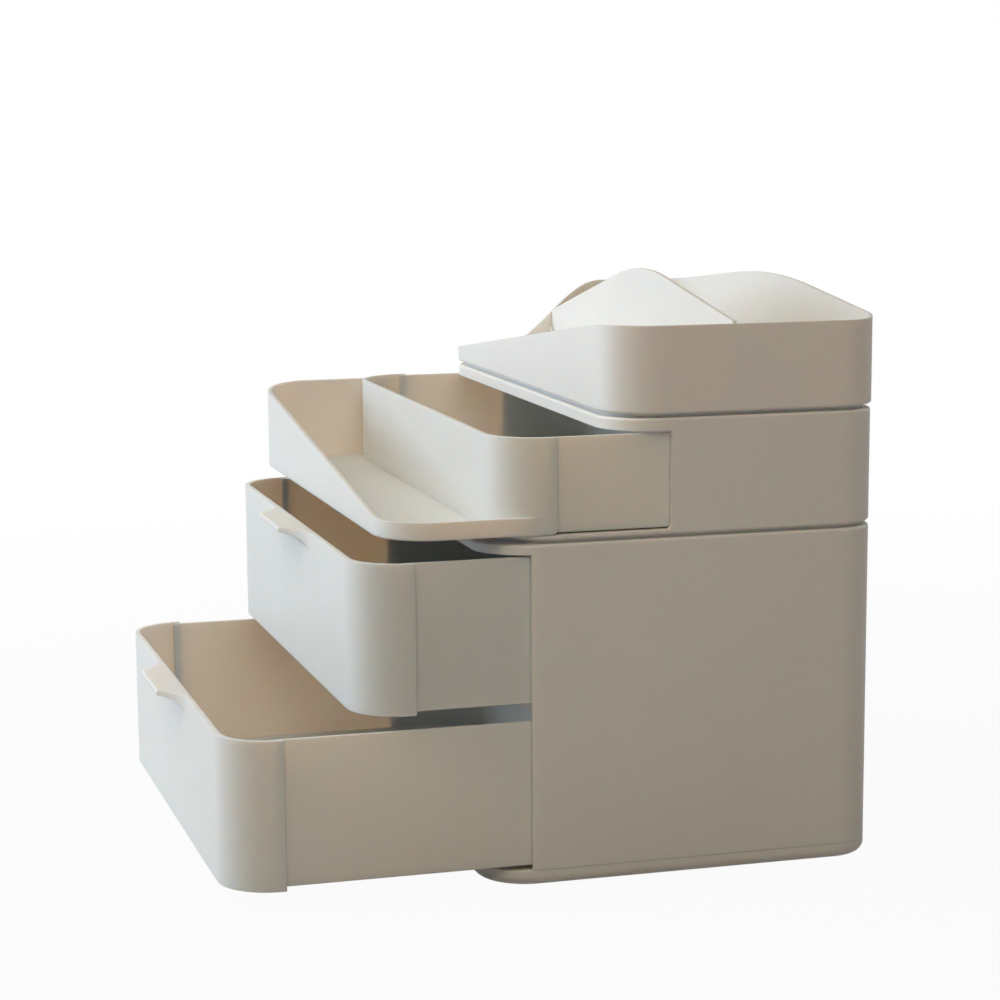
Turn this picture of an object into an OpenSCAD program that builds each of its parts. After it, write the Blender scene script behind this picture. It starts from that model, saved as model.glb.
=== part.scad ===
// Desktop organizer for cosmetics: a two-drawer cabinet, a stepped drawer module set back on top
// of it and an open tray on top of that. Millimetres. The origin is the middle of the cabinet's
// footprint on the table, the fronts face -Y and +Z is up. Drawers stand partly open.

/* [Cabinet] */
// Width over the side walls
body_w = 342; // [322:2:362]
// Depth of the base plate, front edge to back wall
body_d = 232; // [220:2:246]
// Radius of the two front corners in plan
front_r = 30; // [26:1:34]
// Radius of the two rear corners in plan
rear_r = 24; // [16:1:28]
// Thickness of the moulded walls
wall = 2.6; // [2.2:0.1:3]
// How far the plates reach forward of the side walls
plate_over = 26; // [22:1:30]

/* [Drawers] */
// Height of the two lower drawer fronts
front_h = 83.8; // [76:0.2:92]
// Length of a drawer front's wrap round the side
wrap_len = 32.6; // [31:0.2:38]
// Thickness of the drawer fronts where they wrap round the sides
front_t = 2.5; // [2:0.1:3]
// Thickness of the face of the two lower drawer fronts
face_t = 3.2; // [2.6:0.1:4.2]
// Thickness of the drawer boxes
box_t = 2; // [1.6:0.1:2.4]
// Side clearance of a drawer box in its cabinet
side_gap = 0.7; // [0.5:0.1:1]
// How far the lower drawer stands open
lower_open = 138.5; // [0:0.5:160]
// How far the middle drawer stands open
middle_open = 65; // [0:0.5:160]
// How far the finger lip stands out of a front
lip_out = 13.5; // [10:0.5:16]

/* [Stepped module] */
// How far the module's top plate is set back from the cabinet's plates
step_back = 71.3; // [64:0.1:78]
// Height of the module's opening
module_h = 54.6; // [50:0.2:60]
// Height of the front tray's low rim
low_rim_h = 10; // [8:0.5:14]
// How much lower the front tray's far end is than the high wall behind it
rim_drop = 1.8; // [1:0.2:12]
// How far the stepped drawer stands open
stepped_open = 65; // [0:0.5:90]

/* [Top tray] */
// Height of the top tray's side wall above its floor's underside
tray_h = 48.2; // [44:0.2:54]
// Height of the front rim's low end above the tray's underside
low_end_h = 5.8; // [2.8:0.2:12]
// Distance from the tray's back wall to the divider
back_row = 88; // [70:1:100]

/* [Hidden] */
$fn = 96;

eps = 0.5;                              // overshoot of cutting tools
hx = body_w / 2;                        // outer side plane
y_front = -body_d / 2;                  // front edge of the base and the cabinet's top plate
y_back = body_d / 2;
y_wall = y_front + plate_over;          // front edge of the side walls
x_in = hx - wall;                       // inner face of the side walls
y_in = y_back - wall;                   // inner face of the back wall

// Base plate
foot_h = 1;                             // how far the feet stand below the base
base_z = 9.9;                           // joint between base plate and cabinet
base_round = 6;                         // rounding of the base's lower edge
edge_round = 1.5;                       // rounding of the module edges
foot_r = 8;
foot_in = 24;                           // foot centre from the outer faces

// Drawer fits
seam_gap = 0.4;                         // wrap to side wall when closed
run_gap = 0.3;                          // drawer floor above its runners
rail_h = 2.6;                           // runner height
rail_x = hx * 0.7;                      // runner centre from the middle
rail_w = 6;
floor_t = 2.2;                          // drawer floor thickness
box_up = 1.8;                           // drawer box above the front's lower edge
rim_down = 0.4;                         // box rim below the front's rim
x_box = x_in - side_gap;                // outer face of the drawer boxes
y_box_back = y_in - 3.4;                // rear face of the drawer boxes, closed
y_seam = y_wall - seam_gap;             // rear edge of the wraps, closed
y_face = y_seam - wrap_len;             // face of the lower drawer fronts, closed
face_r = min(front_r, wrap_len);        // corner radius of the fronts

// Levels of the cabinet
lower_z = base_z + rail_h + run_gap - box_up;                // lower edge of the lower front
shelf_t = 2.3;
shelf_gap = 4.8;                                             // lower front's rim to the shelf
shelf_z = lower_z + front_h + shelf_gap;
middle_z = shelf_z + shelf_t + rail_h + run_gap - box_up;    // lower edge of the middle front
plate_gap = 0.9;                                             // front rim below a top plate
plate_t = 2.6;                                               // skin of the top plates
plate_edge = 5.4;                                            // height of a top plate's rim
cab_top = middle_z + front_h + plate_gap + plate_edge;
ledge_w = 4;
ledge_h = 2.6;

// Levels of the stepped module
groove = 2.4;                           // gap between modules
groove_in = 4;                          // depth of the gap
plinth_w = 3;
mod_z = cab_top + groove;               // underside of the module
mod_floor = 2.5;
open_z = mod_z + mod_floor;             // top of the module's floor
lid_z = open_z + module_h;              // underside of the module's top plate
lid_edge = 7;                           // height of the top plate's rim
mod_top = lid_z + lid_edge;
y_lid = y_front + step_back;            // front of the top plate and of the high wall
y_mod = y_front + 10;                   // front of the module's floor plate
y_notch = y_lid + 35;                   // front edge of the module's side walls
notch_r = 3;
stepped_z = open_z + run_gap;           // underside of the stepped front
step_floor = 2;                         // floor of the front tray, which the box stands on
skirt_up = 0.7;                         // lower edge of the box's side walls above the front's
step_box_z = stepped_z + step_floor;
y_step_seam = y_notch - seam_gap;
y_step_face = y_mod - 1;                // face of the front tray, closed
step_r = 30;                            // corner radius of the front tray
high_h = module_h - run_gap - 0.8;      // height of the high wall
far_rim_h = high_h - rim_drop;          // height of the front tray's far end

// Travel stops: a tab behind each drawer meets a block on its floor
stop_x = hx * 0.35;
stop_w = 14;
stop_t = 4;
tab_h = 1.9;
block_h = 2.1;
drawer_travel = 170;
stepped_travel = 95;
stop_y = y_box_back - stop_t - drawer_travel - 0.3;           // stop blocks, drawers
step_stop_y = y_box_back - stop_t - stepped_travel - 0.3;     // stop blocks, stepped drawer

// Top tray
tray_z = mod_top + groove;
tray_top = tray_z + tray_h;
tray_wall = 2.4;
tray_out = 0.5;                         // tray stands proud of the module
hx_tray = hx + tray_out;
tray_front_r = front_r + tray_out;
tray_rear_r = rear_r + tray_out;
y_tray = y_lid - tray_out;
y_tray_back = y_back + tray_out;
tray_floor = 2.4;
left_low = tray_z + low_end_h;           // rim at the low front corner
level_run = 24;                          // level right-hand end of the front rim
climb_room = 30;                        // height above the side walls for the rims that climb
rim_slope = (tray_top - left_low) / (hx_tray * 2 - level_run);
rim_climb = 0.105;                      // climb of the back wall's rim per mm, both sides
back_flat = 6;                          // level end of the back wall's rim
back_round = 60;                        // half the length over which its crest rounds over
divider_t = 2.2;
divider_y = y_tray_back - tray_wall - back_row;
left_run = [4, 74];                      // start and end of the left wall's swoop, from the corner
divider_fit = 0.1;                      // divider to each guide rib
rib_t = 1.8;
rib_out = 4;
divider_peak = 24;                      // where the divider's two slopes would meet, above the wall
crest_x = hx * 0.06;
pin_r = 3;
pin_h = 2.2;
pin_x = hx - 46;

// Eases from 0 to 1 without a corner at either end
function ease(t) = (1 - cos(180 * min(1, max(0, t)))) / 2;

// Plan outline with its own radius at the front and at the rear
module plan(half, yf, yr, rf, rr) {
    translate([-half, yf + rf]) square([2 * half, yr - rr - yf - rf]);
    translate([-half + rf, yf]) square([2 * (half - rf), rf]);
    translate([-half + rr, yr - rr]) square([2 * (half - rr), rr]);
    for (s = [-1, 1]) {
        translate([s * (half - rf), yf + rf]) circle(rf);
        translate([s * (half - rr), yr - rr]) circle(rr);
    }
}

// Same outline with a square rear end
module open_plan(half, yf, yr, rf) {
    translate([-half, yf + rf]) square([2 * half, yr - yf - rf]);
    translate([-half + rf, yf]) square([2 * (half - rf), rf]);
    for (s = [0, 1]) mirror([s, 0]) translate([half - rf, yf + rf]) intersection() {
        circle(rf);
        translate([0, -rf]) square(rf);
    }
}

// Outline with a square front end and rounded rear corners
module rear_plan(half, yf, yr, rr) { mirror([0, 1]) open_plan(half, -yr, -yf, rr); }

module slab(z0, z1) { translate([0, 0, z0]) linear_extrude(z1 - z0) children(); }

// Corner left outside a rounded edge: outward is +X and up is +Y
module edge_profile(r) {
    difference() {
        translate([-r, -r]) square(r + eps);
        translate([-r, -r]) circle(r);
    }
}

// Tool that rounds the upper edge of a plan outline at height z (the lower edge when down)
module edge_tool(half, yf, yr, rf, rr, z, r, down = false) {
    translate([0, 0, z]) mirror([0, 0, down ? 1 : 0]) {
        for (s = [0, 1]) mirror([s, 0, 0]) {
            translate([half, yr - rr, 0]) rotate([90, 0, 0])
                linear_extrude(yr - rr - yf - rf) edge_profile(r);
            translate([half - rf, yf + rf, 0]) rotate(-90)
                rotate_extrude(angle = 90) translate([rf, 0]) edge_profile(r);
            translate([half - rr, yr - rr, 0])
                rotate_extrude(angle = 90) translate([rr, 0]) edge_profile(r);
        }
        translate([half - rf, yf, 0]) rotate(-90) rotate([90, 0, 0])
            linear_extrude(2 * (half - rf)) edge_profile(r);
        translate([rr - half, yr, 0]) rotate(90) rotate([90, 0, 0])
            linear_extrude(2 * (half - rr)) edge_profile(r);
    }
}

// Extrudes an XZ outline from y0 to y1
module across_y(y0, y1) { translate([0, y1, 0]) rotate([90, 0, 0]) linear_extrude(y1 - y0) children(); }

// Extrudes a YZ outline from x0 to x1
module across_x(x0, x1) {
    translate([x0, 0, 0]) rotate([90, 0, 90]) linear_extrude(x1 - x0) children();
}

// Pair of runners along Y with a stop block for each tab
module runners(z, y0, y1, y_stop, rail) {
    for (s = [-1, 1]) {
        translate([s * rail_x - rail_w / 2, y0, z]) cube([rail_w, y1 - y0, rail]);
        translate([s * stop_x - stop_w / 2, y_stop - stop_t, z]) cube([stop_w, stop_t, block_h]);
    }
}

// ---- Cabinet -------------------------------------------------------------------------------

// Four corner feet and one under the middle, where the plate would sag
module foot_places() {
    for (x = [-1, 1], y = [y_front + foot_in, y_back - foot_in])
        translate([x * (hx - foot_in), y, 0]) children();
    children();
}

module base_plate() {
    skin = 2.5;
    rib = 1.6;
    color("whitesmoke") difference() {
        union() {
            difference() {
                slab(foot_h, base_z) plan(hx, y_front, y_back, front_r, rear_r);
                slab(foot_h - eps, base_z - skin)
                    plan(hx - base_round, y_front + base_round, y_back - base_round,
                        front_r - base_round, rear_r - base_round);
            }
            for (x = [-0.5, 0, 0.5]) translate([x * hx - rib / 2, y_front + base_round, foot_h + 1])
                cube([rib, body_d - 2 * base_round, base_z - skin - foot_h - 0.5]);
            for (y = [-0.25, 0.25]) translate([base_round - hx, y * body_d - rib / 2, foot_h + 1])
                cube([body_w - 2 * base_round, rib, base_z - skin - foot_h - 0.5]);
            foot_places() translate([0, 0, foot_h]) cylinder(r = foot_r + 2.4, h = base_z - skin);
            runners(base_z - eps, y_wall + 6, y_in - 4, stop_y, rail_h + eps);
            // lip that the cabinet's walls fit over
            difference() {
                slab(base_z - eps, base_z + 2) plan(x_in, y_wall + 2, y_in, 0.6, rear_r - wall);
                slab(base_z - 2 * eps, base_z + 2 + eps)
                    plan(x_in - 1.6, y_wall, y_in - 1.6, 0.6, rear_r - wall - 1.6);
            }
        }
        edge_tool(hx, y_front, y_back, front_r, rear_r, foot_h, base_round, true);
        foot_places() translate([0, 0, foot_h - eps]) cylinder(r = foot_r, h = 1.2 + eps);
    }
}

module rubber_feet() {
    color("dimgray") foot_places() difference() {
        cylinder(r = foot_r, h = foot_h + 1.2);
        translate([0, 0, -eps]) rotate_extrude() translate([foot_r, eps]) polygon([[-0.6, -eps],
            [eps, -eps], [eps, 0.6], [0, 0.6], [-0.6, 0]]);
    }
}

// Walls of a module, open to the front of y0
module walls(z0, z1, y0) {
    difference() {
        slab(z0, z1) intersection() {
            plan(hx, y_front, y_back, front_r, rear_r);
            translate([-hx, y0]) square([body_w, y_back - y0]);
        }
        slab(z0 - eps, z1 + eps) plan(x_in, y_front - eps, y_in, 1, rear_r - wall);
    }
}

// Top plate with a deeper rim along its overhanging edge
module top_plate(yf, z1, edge) {
    difference() {
        slab(z1 - edge, z1) plan(hx, yf, y_back, front_r, rear_r);
        slab(z1 - edge - eps, z1 - plate_t)
            plan(x_in, yf + wall, y_in, front_r - wall, rear_r - wall);
        edge_tool(hx, yf, y_back, front_r, rear_r, z1, edge_round);
    }
}

module pin_places() {
    for (x = [-1, 1], y = [y_lid + 40, y_back - 30]) translate([x * pin_x, y, 0]) children();
}

module lower_shell() {
    color("whitesmoke") difference() {
        union() {
            walls(base_z, cab_top - plate_t, y_wall);
            top_plate(y_front, cab_top, plate_edge);
            for (s = [0, 1]) mirror([s, 0, 0])
                translate([x_in - ledge_w, y_wall + 4, shelf_z - ledge_h])
                    cube([ledge_w + 0.5, y_in - rear_r - y_wall - 4, ledge_h]);
            translate([-hx / 2, y_in - ledge_w, shelf_z - ledge_h]) cube([hx, ledge_w + 0.5, ledge_h]);
        }
        pin_places() translate([0, 0, cab_top - plate_t - eps])
            cylinder(r = pin_r + 0.2, h = plate_t + 2 * eps);
    }
}

module cabinet_shelf() {
    yf = y_wall + 3;
    color("whitesmoke") {
        slab(shelf_z, shelf_z + shelf_t) plan(x_in - 0.2, yf, y_in - 0.2, 1, rear_r - wall - 0.2);
        translate([-x_in + ledge_w + 1, yf, shelf_z - ledge_h])
            cube([2 * (x_in - ledge_w - 1), wall, ledge_h + 1]);
        runners(shelf_z + shelf_t - eps, y_wall + 6, y_in - 4, stop_y, rail_h + eps);
    }
}

// ---- Lower and middle drawer ---------------------------------------------------------------

// Curled finger lip in the middle of a front's upper rim. Its ends sweep into the face and its
// underside curls down to it.
module finger_lip(z) {
    half = 28;                          // half of the straight outer edge
    flare = 26;
    tip = 3;                            // thickness at the outer edge
    root = 11;                          // depth of the curl at the face
    edge = 1.2;
    steps = 10;
    side = [for (i = [0:steps]) [half + flare * i / steps, y_face - lip_out * pow(1 - i / steps, 2)]];
    intersection() {
        slab(z - root, z) polygon(concat([[half, y_face - lip_out - 1]], side,
            [[half + flare, y_face + 1], [-half - flare, y_face + 1]],
            [for (i = [steps:-1:0]) [-side[i][0], side[i][1]]], [[-half, y_face - lip_out - 1]]));
        across_x(-half - flare, half + flare) translate([y_face - lip_out, z]) polygon(concat(
            [[lip_out + 1, 0]],
            [for (a = [90:-15:0]) [edge - edge * cos(a), edge * sin(a) - edge]],
            [for (i = [0:steps]) let (a = 90 * i / steps)
                [lip_out * sin(a), -tip - (root - tip) * (1 - cos(a))]],
            [[lip_out + 1, -root]]));
    }
}

// Front with a face of thickness t that wraps round both sides of the box and takes its walls
module wrap_front(z, h, yf, ys, r, t) {
    pad = 4;
    difference() {
        slab(z, z + h) open_plan(hx, yf, ys, r);
        slab(z - eps, z + h + eps) open_plan(hx - front_t, yf + t, ys + eps, r - t);
    }
    for (s = [0, 1]) mirror([s, 0, 0])
        translate([x_box, ys - pad, z + box_up]) cube([hx - x_box - 0.5, pad, h - box_up - rim_down]);
}

module drawer_front(z) {
    wrap_front(z, front_h, y_face, y_seam, face_r, face_t);
    finger_lip(z + front_h);
}

// Box behind a wrap: its floor fills the front's inside and its walls start inside the wrap
module drawer_box(z, h, yf, ys, r, t, tab_z) {
    rear = rear_r - wall;               // the same centre lines as the walls behind it
    difference() {
        union() {
            slab(z, z + floor_t) {
                open_plan(x_box, yf + t, ys, r - t);
                rear_plan(x_box, ys - 4, y_box_back, rear);
            }
            slab(z, z + h) rear_plan(x_box, ys - 4, y_box_back, rear);
        }
        slab(z + floor_t, z + h + eps)
            rear_plan(x_box - box_t, ys - 4 - eps, y_box_back - box_t, rear - box_t);
    }
    for (s = [-1, 1]) translate([s * stop_x - stop_w / 2, y_box_back - stop_t, tab_z])
        cube([stop_w, stop_t, z - tab_z + 0.5]);
}

module lower_drawer_front() {
    color("white") translate([0, -lower_open, 0]) drawer_front(lower_z);
}

module lower_drawer_box() {
    z = lower_z + box_up;
    color("white") translate([0, -lower_open, 0])
        drawer_box(z, front_h - box_up - rim_down, y_face, y_seam, face_r, face_t, z - tab_h);
}

module middle_drawer_front() {
    color("white") translate([0, -middle_open, 0]) drawer_front(middle_z);
}

module middle_drawer_box() {
    z = middle_z + box_up;
    color("white") translate([0, -middle_open, 0])
        drawer_box(z, front_h - box_up - rim_down, y_face, y_seam, face_r, face_t, z - tab_h);
}

// ---- Stepped module ------------------------------------------------------------------------

// Opening cut through the module's side walls, with a rounded lower rear corner
module notch_outline() {
    difference() {
        translate([y_front - eps, open_z]) square([y_notch - y_front + eps, module_h]);
        translate([y_notch - notch_r, open_z]) difference() {
            translate([0, -eps]) square([notch_r + eps, notch_r + eps]);
            translate([0, notch_r]) circle(notch_r);
        }
    }
}

module upper_shell() {
    color("whitesmoke") difference() {
        union() {
            difference() {
                slab(mod_z, mod_top) plan(hx, y_mod, y_back, front_r, rear_r);
                slab(open_z, mod_top - plate_t)
                    plan(x_in, y_mod - front_r, y_in, 1, rear_r - wall);
                across_x(-hx - eps, hx + eps) notch_outline();
                // everything above the opening ends at the top plate's outline
                slab(lid_z - eps, mod_top + eps) difference() {
                    translate([-hx - 1, y_mod - 1]) square([body_w + 2, y_notch - y_mod + 1]);
                    plan(hx, y_lid, y_back, front_r, rear_r);
                }
                edge_tool(hx, y_lid, y_back, front_r, rear_r, mod_top, edge_round);
                edge_tool(hx, y_mod, y_back, front_r, rear_r, mod_z, edge_round, true);
            }
            top_plate(y_lid, mod_top, lid_edge);
            runners(open_z - eps, y_notch + 2, y_in - 4, step_stop_y, step_floor + eps);
            plinth(mod_z, y_mod);
        }
        pin_places() translate([0, 0, mod_top - plate_t - eps])
            cylinder(r = pin_r + 0.2, h = plate_t + 2 * eps);
    }
}

// Recessed ring and locating pins that carry one module on the next
module plinth(z, yf) {
    r_f = front_r - groove_in;
    r_r = rear_r - groove_in;
    difference() {
        slab(z - groove, z + eps) plan(hx - groove_in, yf + groove_in, y_back - groove_in, r_f, r_r);
        slab(z - groove - eps, z + 2 * eps)
            plan(hx - groove_in - plinth_w, yf + groove_in + plinth_w,
                y_back - groove_in - plinth_w, r_f - plinth_w, r_r - plinth_w);
    }
    pin_places() translate([0, 0, z - groove - pin_h]) cylinder(r = pin_r, h = groove + pin_h + eps);
}

// Rim of the front tray, seen from the front: low on the right, rising steadily to the left
module step_rim_outline() {
    x0 = hx - 20;                       // where the slope starts
    blend = 8;
    low = stepped_z + low_rim_h;
    rise = far_rim_h - low_rim_h;
    slope = rise / (hx + x0);
    steps = 6;
    polygon(concat([[-hx - 1, stepped_z - 1], [hx + 1, stepped_z - 1], [hx + 1, low]],
        [for (i = [0:steps]) let (x = x0 + blend - 2 * blend * i / steps)
            [x, low + slope * pow(x0 + blend - x, 2) / (4 * blend)]],
        [[-hx, low + rise], [-hx - 1, low + rise]]));
}

module stepped_drawer_front() {
    y_end = y_lid + front_r + 1;        // the tray's walls run on into the straight part of the wrap
    color("white") translate([0, -stepped_open, 0]) union() {
        difference() {
            wrap_front(stepped_z, high_h, y_lid, y_step_seam, front_r, front_t);
            wrap_corner_cut();
        }
        difference() {
            intersection() {
                slab(stepped_z, stepped_z + far_rim_h) open_plan(hx, y_step_face, y_end, step_r);
                across_y(y_step_face - 1, y_end + 1) step_rim_outline();
            }
            slab(stepped_z + step_floor, stepped_z + far_rim_h + eps)
                open_plan(hx - front_t, y_step_face + front_t, y_end + eps, step_r - front_t);
            edge_tool(hx, y_step_face, y_end + 20, step_r, 2, stepped_z, 1.2, true);
        }
    }
}

// Clears the rounded lower corners of the module's opening
module wrap_corner_cut() {
    r = notch_r + seam_gap;
    for (s = [0, 1]) mirror([s, 0, 0]) across_x(x_box - 1, hx + 1)
        translate([y_step_seam - r, stepped_z]) difference() {
            translate([0, -1]) square([r + 1, r + 1]);
            translate([0, r]) circle(r);
        }
}

// Its side walls reach down past the floor, beside the runners
module stepped_drawer_box() {
    skirt_z = stepped_z + skirt_up;
    y_skirt = y_step_seam - 4;
    color("white") translate([0, -stepped_open, 0]) {
        drawer_box(step_box_z, stepped_z + high_h - rim_down - step_box_z, y_lid, y_step_seam,
            front_r, front_t, step_box_z - tab_h + 0.2);
        for (s = [0, 1]) mirror([s, 0, 0]) translate([x_box - box_t, y_skirt, skirt_z])
            cube([box_t, y_box_back - rear_r - y_skirt, step_box_z + 0.5 - skirt_z]);
    }
}

// ---- Top tray ------------------------------------------------------------------------------

// What is cut away above the front rim, seen from the front
module front_rim_cut() {
    top = tray_top + climb_room + 1;
    shoulder = hx_tray - level_run;     // the rim is level to the right of this
    blend = 14;
    steps = 6;
    polygon(concat([[-hx_tray - 1, top], [hx_tray + 1, top], [hx_tray + 1, tray_top]],
        [for (i = [0:steps]) let (x = shoulder + blend - 2 * blend * i / steps)
            [x, tray_top - rim_slope * pow(shoulder + blend - x, 2) / (4 * blend)]],
        [[-hx_tray, left_low], [-hx_tray - 1, left_low]]));
}

// What is cut away above the left wall, seen from the side: low in front, rising to the back
function left_rim(t) = left_low + (tray_top - left_low) * ease(t);

module left_rim_cut(y0, y_low, y_high, y_rear) {
    top = tray_top + climb_room + 1;
    steps = 14;
    polygon(concat([[y0, top], [y0, left_low], [y_low, left_low]],
        [for (i = [1:steps]) [y_low + (y_high - y_low) * i / steps, left_rim(i / steps)]],
        [[y_rear, tray_top], [y_rear, top]]));
}

// Points of a rim that climbs steadily from both ends and rounds over at its crest
function crest_rim(left, right, crest, round) =
    let (sl = (crest[1] - left[1]) / (crest[0] - left[0]),
        sr = (crest[1] - right[1]) / (right[0] - crest[0]),
        steps = 12)
    concat([left], [for (i = [0:steps]) let (t = 2 * round * i / steps)
        [crest[0] - round + t, crest[1] - sl * round + sl * t - (sl + sr) * t * t / (4 * round)]],
        [right]);

module top_tray() {
    y_split = y_tray + tray_front_r + 0.5;
    y_rear = y_tray_back - tray_rear_r - 0.5;
    half = hx_tray - back_flat;
    top = tray_top + climb_room;
    color("whitesmoke") {
        difference() {
            slab(tray_z, top) plan(hx_tray, y_tray, y_tray_back, tray_front_r, tray_rear_r);
            slab(tray_z + tray_floor, top + 1)
                plan(hx_tray - tray_wall, y_tray + tray_wall, y_tray_back - tray_wall,
                    tray_front_r - tray_wall, tray_rear_r - tray_wall);
            // level side wall, front swoop, left swoop, crested back
            translate([0, y_split, tray_top])
                cube([hx_tray + 1, y_rear - y_split, climb_room + 1]);
            across_y(y_tray - 1, y_split) front_rim_cut();
            across_x(-hx_tray - 1, 0) left_rim_cut(y_split, y_split + left_run[0],
                y_split + left_run[1], y_rear);
            across_y(y_rear, y_tray_back + 1) polygon(concat(
                [[-hx_tray - 1, top + 1], [-hx_tray - 1, tray_top]],
                crest_rim([-half, tray_top], [half, tray_top], [0, tray_top + rim_climb * half],
                    back_round),
                [[hx_tray + 1, tray_top], [hx_tray + 1, top + 1]]));
            edge_tool(hx_tray, y_tray, y_tray_back, tray_front_r, tray_rear_r,
                tray_z, edge_round, true);
        }
        plinth(tray_z, y_lid);
        // guide ribs for the divider
        for (s = [0, 1]) mirror([s, 0, 0]) for (d = [-1, 1])
            translate([hx_tray - tray_wall - rib_out, divider_y + divider_t / 2 - rib_t / 2
                + d * (divider_t / 2 + divider_fit + rib_t / 2), tray_z + tray_floor - eps])
                cube([rib_out + 0.5, rib_t, 16]);
    }
}

module tray_divider() {
    half = hx_tray - tray_wall - 0.2;
    z0 = tray_z + tray_floor;
    y_split = y_tray + tray_front_r + 0.5;
    wall_z = left_rim((divider_y - y_split - left_run[0]) / (left_run[1] - left_run[0]));
    color("whitesmoke") across_y(divider_y, divider_y + divider_t) polygon(concat([[-half, z0]],
        crest_rim([-half, wall_z + 1], [half, tray_top + 1], [crest_x, tray_top + divider_peak],
            hx * 0.25),
        [[half, z0]]));
}

base_plate();
rubber_feet();
lower_shell();
cabinet_shelf();
lower_drawer_box();
lower_drawer_front();
middle_drawer_box();
middle_drawer_front();
upper_shell();
stepped_drawer_box();
stepped_drawer_front();
top_tray();
tray_divider();
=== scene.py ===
"""Looks for the desktop organizer: camera, soft studio light and moulded-plastic materials
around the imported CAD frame. Metres, in the CAD frame: fronts face -Y and +Z is up."""
import math

import bpy
from mathutils import Matrix, Vector

# Camera, solved from straight edges of the object, for a square picture
CAM_PLACE = (1.56029, -0.50497, 0.44090)
CAM_AZIMUTH, CAM_ELEVATION, CAM_ROLL = 73.18, 10.22, -0.24      # degrees
CAM_LENS, CAM_SENSOR = 97.57, 36        # mm
CAM_SHIFT = (-0.0410, 0.0703)           # shares of the picture's side
CAM_REACH = 50                          # how far the camera sees

# Stage
FLOOR_SIDE = 40
FLOOR_GREY = 0.52                       # share of the light that the floor throws back
FLOOR_WHITE = 0.95                      # share of plain white that shows in the floor near the object
FLOOR_FADE = (0.45, 1.3)                # distances from the middle over which that grows to 1
GLOSS_SHARE = 0.6                       # how much of the white studio shows in glossy reflections
ROOM_GLOW = 0.02                        # strength of the light from all round
ROOM_COLOUR = (1.0, 0.89, 0.75)
WHITE = (1, 1, 1, 1)

# Name, place, aim, size (m), power (W), colour, and whether its glossy reflection shows
LAMPS = [
    ("window", (-1.10, -2.12, 0.85), (0, -0.1, 0.2), (1.7, 1.3), 43, (0.71, 0.85, 1.0), True),
    ("ceiling", (-0.2, -1.4, 2.0), (0, 0, 0.15), (1.6, 1.2), 19, (1.0, 0.90, 0.73), True),
    ("left sun", (-2.2, -0.2, 0.7), (0, 0, 0.2), (1.4, 1.2), 16, (1.0, 0.88, 0.74), False),
    ("back sun", (-2.1, 0.9, 0.6), (0, 0, 0.2), (1.2, 1.2), 5, (1.0, 0.82, 0.62), False),
    ("rear fill", (-0.7, 2.4, 1.0), (0, 0, 0.15), (1.4, 1.4), 8, (0.97, 0.98, 1.0), True),
    ("room", (1.6, -0.4, 1.8), (0, 0, 0.15), (1.6, 1.4), 17, (1.0, 0.86, 0.69), True),
]

# Plastic. Each kind is mottled from base to tint, and depth scales how far light soaks in. Shells and
# drawers are one white plastic: the shells' colours are written lighter as painted light on the upper
# parts, and the drawers' colours darker as painted shade on the lower fronts.
SHELLS = ["base_plate", "lower_shell", "cabinet_shelf", "upper_shell", "top_tray", "tray_divider"]
DRAWERS = ["lower_drawer_box", "lower_drawer_front", "middle_drawer_box", "middle_drawer_front",
           "stepped_drawer_box", "stepped_drawer_front"]
SHELL_LOOK = dict(base=(0.85, 0.84, 0.815), tint=(0.82, 0.81, 0.78), rough=0.42, depth=0.002)
DRAWER_LOOK = dict(base=(0.775, 0.765, 0.745), tint=(0.745, 0.735, 0.71), rough=0.40, depth=0.009)
PLASTIC_IOR = 1.46
SOAK_SHARE = 0.6                        # share of the light that soaks into the plastic
SOAK_COLOUR = (1.0, 0.58, 0.36)         # red goes deepest, so thin walls glow warm
EDGE_ROUND = 0.0009                     # rounding of moulded edges, shading only
EDGE_RAYS = 4                           # rays that find an edge, for each sample
ROUGH_DOWN, ROUGH_UP = 0.04, 0.05       # how far the roughness strays from its main value

# Rubber
RUBBER_DARK = (0.15, 0.15, 0.15)
RUBBER_PALE = (0.18, 0.18, 0.175)
RUBBER_ROUGH = 0.75

# Noises: scale, detail, roughness. Bumps: strength, height.
MOTTLE = (9.0, 4.0, 0.55)               # slight changes of colour
SHEEN = (420.0, 2.0, 0.5)               # uneven gloss
WAVE, WAVE_BUMP = (14.0, 1.0, 0.4), (0.10, 0.002)           # waviness of moulded walls
GRAIN, GRAIN_BUMP = (1500.0, 2.0, 0.6), (0.05, 0.0002)      # spark-eroded grain
SPECKS = (120.0, 3.0, 0.5)              # unevenly dark rubber
PITS, PITS_BUMP = (900.0, 3.0, 0.5), (0.2, 0.0003)          # matt skin of the rubber
NOISE_SPAN = (0.3, 0.7)                 # where nearly all of a noise's values lie

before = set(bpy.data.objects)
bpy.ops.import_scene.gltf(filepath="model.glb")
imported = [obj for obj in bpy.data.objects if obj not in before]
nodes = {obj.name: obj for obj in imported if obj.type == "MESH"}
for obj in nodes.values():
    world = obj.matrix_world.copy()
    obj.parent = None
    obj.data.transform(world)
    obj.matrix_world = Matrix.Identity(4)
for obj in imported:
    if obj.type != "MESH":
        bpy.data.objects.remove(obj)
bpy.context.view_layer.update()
scene = bpy.context.scene


# ---------------------------------------------------------------- node helpers
def new_material(name):
    """A node material with just its output and its principled shader, joined."""
    mat = bpy.data.materials.new(name)
    mat.use_nodes = True
    tree = mat.node_tree
    tree.nodes.clear()
    out = tree.nodes.new("ShaderNodeOutputMaterial")
    shader = tree.nodes.new("ShaderNodeBsdfPrincipled")
    tree.links.new(shader.outputs["BSDF"], out.inputs["Surface"])
    return mat, tree, shader


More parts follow.
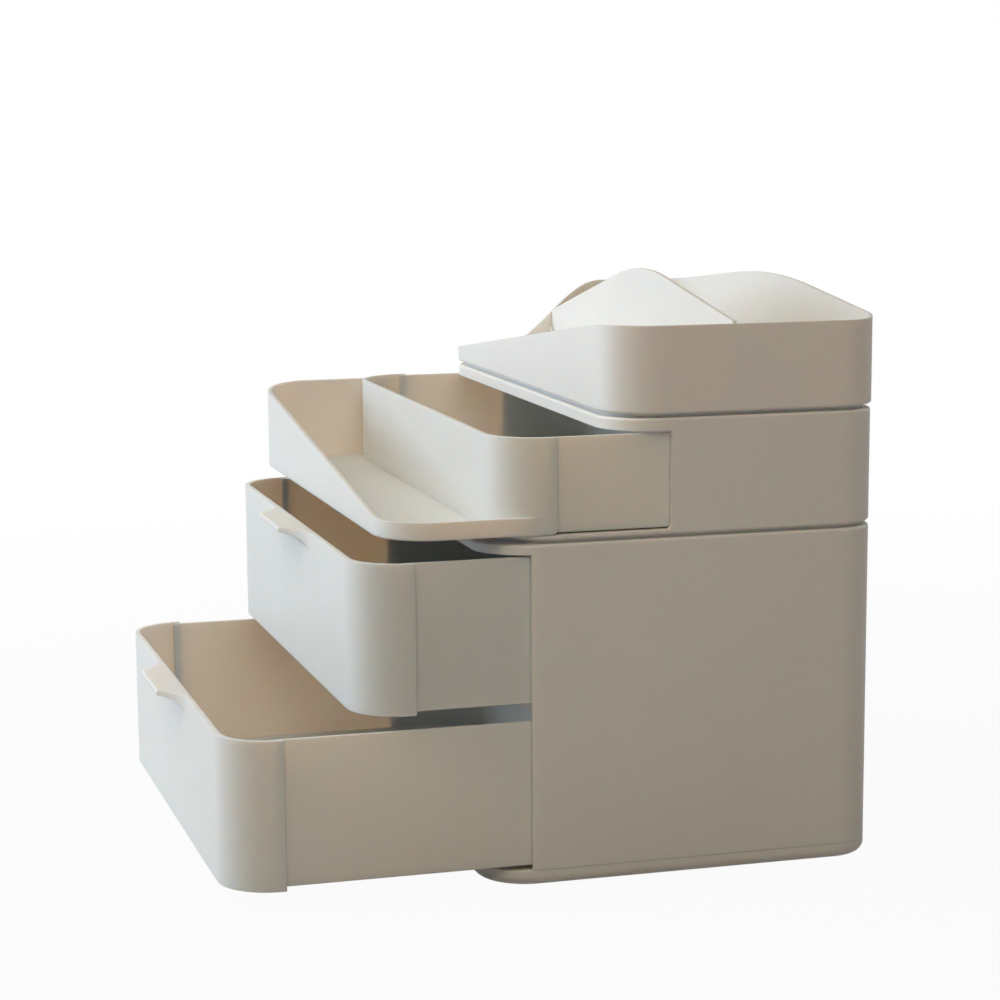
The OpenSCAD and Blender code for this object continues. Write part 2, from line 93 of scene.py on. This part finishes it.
def add(tree, kind, **values):
    """Adds a node; keyword names are socket names (with _ for a space) or node properties."""
    node = tree.nodes.new(kind)
    for key, value in values.items():
        socket = node.inputs.get(key.replace("_", " "))
        if socket is not None:
            socket.default_value = value
        else:
            setattr(node, key, value)
    return node


def noise(tree, coords, scale, detail, rough):
    """Noise from 0 to 1, mostly near the middle, with finer layers as detail and rough say."""
    node = add(tree, "ShaderNodeTexNoise", Scale=scale, Detail=detail, Roughness=rough)
    tree.links.new(coords, node.inputs["Vector"])
    return node.outputs["Fac"]


def span(tree, value, low, high, start, end):
    """Maps a value that runs from low to high onto start to end, and holds it at the ends."""
    node = add(tree, "ShaderNodeMapRange", From_Min=low, From_Max=high, To_Min=start, To_Max=end)
    tree.links.new(value, node.inputs["Value"])
    return node.outputs["Result"]


def two_colours(tree, share, first, second):
    """A colour between two; a share of 0 gives the first and 1 the second."""
    mix = add(tree, "ShaderNodeMix", data_type="RGBA")
    factor, colour_a, colour_b = mix.inputs[0], mix.inputs[6], mix.inputs[7]
    colour_a.default_value = (*first, 1)
    colour_b.default_value = (*second, 1)
    tree.links.new(share, factor)
    return mix.outputs[2]


def bump(tree, height, strength, distance, below=None):
    """The normal of a surface that a height field raises, on top of the normal below it."""
    node = add(tree, "ShaderNodeBump", Strength=strength, Distance=distance)
    if below is not None:
        tree.links.new(below, node.inputs["Normal"])
    tree.links.new(height, node.inputs["Height"])
    return node.outputs["Normal"]


# ---------------------------------------------------------------- materials
def plastic(name, base, tint, rough, depth):
    """Satin injection-moulded plastic with softly rounded edges: faint mottling, spark-eroded
    grain, a slight flow waviness, and light that soaks into the walls."""
    mat, tree, shader = new_material(name)
    coords = tree.nodes.new("ShaderNodeTexCoord").outputs["Object"]
    mottle = span(tree, noise(tree, coords, *MOTTLE), *NOISE_SPAN, 0.0, 1.0)
    tree.links.new(two_colours(tree, mottle, base, tint), shader.inputs["Base Color"])
    sheen = span(tree, noise(tree, coords, *SHEEN), *NOISE_SPAN, rough - ROUGH_DOWN,
                 rough + ROUGH_UP)
    tree.links.new(sheen, shader.inputs["Roughness"])
    edge = add(tree, "ShaderNodeBevel", samples=EDGE_RAYS, Radius=EDGE_ROUND).outputs["Normal"]
    wave = bump(tree, noise(tree, coords, *WAVE), *WAVE_BUMP, below=edge)
    grain = bump(tree, noise(tree, coords, *GRAIN), *GRAIN_BUMP, below=wave)
    tree.links.new(grain, shader.inputs["Normal"])
    shader.inputs["IOR"].default_value = PLASTIC_IOR
    shader.inputs["Subsurface Weight"].default_value = SOAK_SHARE
    shader.inputs["Subsurface Radius"].default_value = SOAK_COLOUR
    shader.inputs["Subsurface Scale"].default_value = depth
    return mat


def rubber(name):
    """Matt dark rubber with a fine uneven surface."""
    mat, tree, shader = new_material(name)
    coords = tree.nodes.new("ShaderNodeTexCoord").outputs["Object"]
    colour = two_colours(tree, noise(tree, coords, *SPECKS), RUBBER_DARK, RUBBER_PALE)
    tree.links.new(colour, shader.inputs["Base Color"])
    shader.inputs["Roughness"].default_value = RUBBER_ROUGH
    tree.links.new(bump(tree, noise(tree, coords, *PITS), *PITS_BUMP), shader.inputs["Normal"])
    return mat


def dress(names, mat):
    """Gives nodes of the frame one material, in place of their plain one."""
    for name in names:
        obj = nodes[name]
        obj.data.materials.clear()
        obj.data.materials.append(mat)


# ---------------------------------------------------------------- stage, light, camera
def seen_rays(tree):
    """1 for camera and transmission rays, which see the plain white studio, less for glossy."""
    path = tree.nodes.new("ShaderNodeLightPath")
    value = path.outputs["Is Camera Ray"]
    for name, share in (("Is Glossy Ray", GLOSS_SHARE), ("Is Transmission Ray", 1.0)):
        part = add(tree, "ShaderNodeMath", operation="MULTIPLY")
        tree.links.new(path.outputs[name], part.inputs[0])
        part.inputs[1].default_value = share
        both = add(tree, "ShaderNodeMath", operation="MAXIMUM")
        tree.links.new(value, both.inputs[0])
        tree.links.new(part.outputs[0], both.inputs[1])
        value = both.outputs[0]
    return value


def mix_shaders(tree, share, first, second, out):
    """Shows the second shader by its share and the first for the rest."""
    mix = tree.nodes.new("ShaderNodeMixShader")
    tree.links.new(share, mix.inputs[0])
    tree.links.new(first, mix.inputs[1])
    tree.links.new(second, mix.inputs[2])
    tree.links.new(mix.outputs[0], out.inputs["Surface"])


def make_floor():
    """A matt floor that shows nearly white and keeps the object's soft shadow."""
    bpy.ops.mesh.primitive_plane_add(size=FLOOR_SIDE, location=(0, 0, 0))
    floor = bpy.context.object
    floor.name = "floor"
    mat, tree, shader = new_material("floor_white")
    shader.inputs["Base Color"].default_value = (FLOOR_GREY, FLOOR_GREY, FLOOR_GREY, 1)
    shader.inputs["Roughness"].default_value = 1.0
    shader.inputs["Specular IOR Level"].default_value = 0.0
    glow = add(tree, "ShaderNodeEmission", Color=WHITE, Strength=1.0)
    place = tree.nodes.new("ShaderNodeTexCoord").outputs["Object"]
    away = add(tree, "ShaderNodeVectorMath", operation="LENGTH")
    tree.links.new(place, away.inputs[0])
    part = add(tree, "ShaderNodeMath", operation="MULTIPLY")
    tree.links.new(seen_rays(tree), part.inputs[0])
    tree.links.new(span(tree, away.outputs["Value"], *FLOOR_FADE, FLOOR_WHITE, 1.0),
                   part.inputs[1])
    mix_shaders(tree, part.outputs[0], shader.outputs["BSDF"], glow.outputs[0],
                tree.nodes["Material Output"])
    floor.data.materials.append(mat)


def make_world():
    """A backdrop that shows plain white and lights the object only faintly and warmly."""
    world = bpy.data.worlds.new("studio")
    scene.world = world
    world.use_nodes = True
    tree = world.node_tree
    tree.nodes.clear()
    out = tree.nodes.new("ShaderNodeOutputWorld")
    room = add(tree, "ShaderNodeBackground", Color=(*ROOM_COLOUR, 1), Strength=ROOM_GLOW)
    white = add(tree, "ShaderNodeBackground", Color=WHITE, Strength=1.0)
    mix_shaders(tree, seen_rays(tree), room.outputs[0], white.outputs[0], out)


def area_light(name, place, aim, size, power, colour, glossy):
    """A rectangular soft lamp that faces its aim; glossy says whether reflections show it."""
    data = bpy.data.lights.new(name, "AREA")
    data.shape = "RECTANGLE"
    data.size, data.size_y = size
    data.energy = power
    data.color = colour
    light = bpy.data.objects.new(name, data)
    light.location = place
    light.rotation_euler = (Vector(aim) - Vector(place)).to_track_quat("-Z", "Y").to_euler()
    light.visible_glossy = glossy
    scene.collection.objects.link(light)


def make_camera():
    """The camera, turned by azimuth from -Y towards +X, then elevation, then roll."""
    azimuth, elevation, roll = (math.radians(v) for v in (CAM_AZIMUTH, CAM_ELEVATION, CAM_ROLL))
    back = Vector((math.sin(azimuth) * math.cos(elevation),
                   -math.cos(azimuth) * math.cos(elevation), math.sin(elevation)))
    right = Vector((math.cos(azimuth), math.sin(azimuth), 0))
    up = back.cross(right)
    right, up = (right * math.cos(roll) + up * math.sin(roll),
                 -right * math.sin(roll) + up * math.cos(roll))
    data = bpy.data.cameras.new("camera")
    data.sensor_fit = "HORIZONTAL"
    data.sensor_width = CAM_SENSOR
    data.lens = CAM_LENS
    data.shift_x, data.shift_y = CAM_SHIFT
    data.clip_end = CAM_REACH
    cam = bpy.data.objects.new("camera", data)
    turn = Matrix((right, up, back)).transposed().to_4x4()
    cam.matrix_world = Matrix.Translation(CAM_PLACE) @ turn
    scene.collection.objects.link(cam)
    scene.camera = cam


# Shells get the lighter copy of the plastic (painted light), drawers the darker copy (painted shade)
dress(SHELLS, plastic("shell_plastic", **SHELL_LOOK))
dress(DRAWERS, plastic("drawer_plastic", **DRAWER_LOOK))
dress(["rubber_feet"], rubber("foot_rubber"))
make_floor()
make_world()
make_camera()
for lamp in LAMPS:
    area_light(*lamp)

scene.view_settings.view_transform = "Standard"
